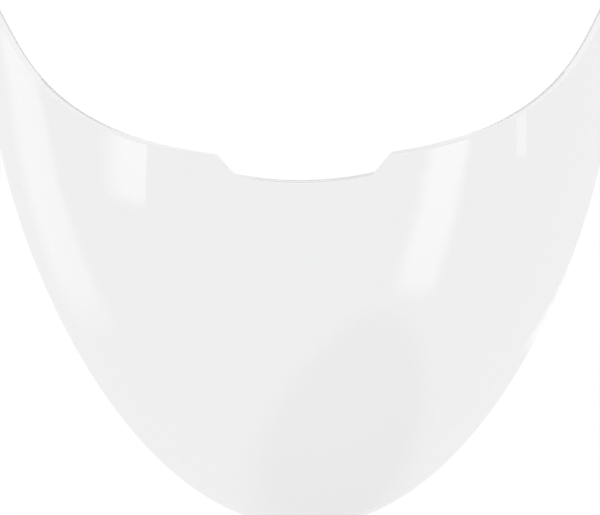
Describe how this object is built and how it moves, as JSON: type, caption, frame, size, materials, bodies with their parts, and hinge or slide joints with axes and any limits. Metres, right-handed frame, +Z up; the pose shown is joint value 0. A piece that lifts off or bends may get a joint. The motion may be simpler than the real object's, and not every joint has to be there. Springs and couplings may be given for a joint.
{
  "type": "motorcycle helmet visor",
  "caption": "Long clear curved face shield for an open-face motorcycle helmet, with click pivot plates, covers and coin screws at both ears.",
  "frame": {"origin": "middle of the pivot axis, half way between the two ears", "axes": "+X along the pivot axis to the wearer's left, +Z up, the shield's front faces -Y"},
  "size_m": [0.2474, 0.1819, 0.2093],
  "materials": {
    "clear_sheet": "clear polished",
    "plate_nylon": "fine moulded texture",
    "gasket_rubber": "matt",
    "screw_steel": "zinc plated",
    "washer_nylon": "natural nylon",
    "insert_brass": "turned",
    "plunger_acetal": "natural acetal",
    "spring_steel": "bright wire",
    "cover_nylon": "fine moulded texture",
    "coin_screw": "satin nylon"
  },
  "bodies": {
    "pivot_kit": {"base_plate_left": "plate_nylon", "base_plate_right": "plate_nylon", "base_gasket_left": "gasket_rubber", "base_gasket_right": "gasket_rubber", "mount_screws_left": "screw_steel", "mount_screws_right": "screw_steel", "inner_washer_left": "washer_nylon", "inner_washer_right": "washer_nylon", "outer_washer_left": "washer_nylon", "outer_washer_right": "washer_nylon", "hub_insert_left": "insert_brass", "hub_insert_right": "insert_brass", "pivot_cover_left": "cover_nylon", "pivot_cover_right": "cover_nylon", "cover_screw_left": "coin_screw", "cover_screw_right": "coin_screw", "plunger_spring_left": "spring_steel", "plunger_spring_right": "spring_steel"},
    "shield": {"shield": "clear_sheet"},
    "left_click": {"click_plunger_left": "plunger_acetal"},
    "right_click": {"click_plunger_right": "plunger_acetal"}
  },
  "joints": [
    {"name": "visor_swing", "type": "hinge", "parent": "pivot_kit", "child": "shield", "pos_m": [0, 0, 0], "axis": [-1, 0, 0], "range_deg": [0, 60]},
    {"name": "left_click_slide", "type": "slide", "parent": "pivot_kit", "child": "left_click", "axis": [0, 0.5736, -0.8192], "range_m": [0, 0.0014], "stiffness_N_per_m": 2000, "springref_m": -0.001, "deforming": ["plunger_spring_left"]},
    {"name": "right_click_slide", "type": "slide", "parent": "pivot_kit", "child": "right_click", "axis": [0, 0.5736, -0.8192], "range_m": [0, 0.0014], "stiffness_N_per_m": 2000, "springref_m": -0.001, "deforming": ["plunger_spring_right"]}
  ]
}
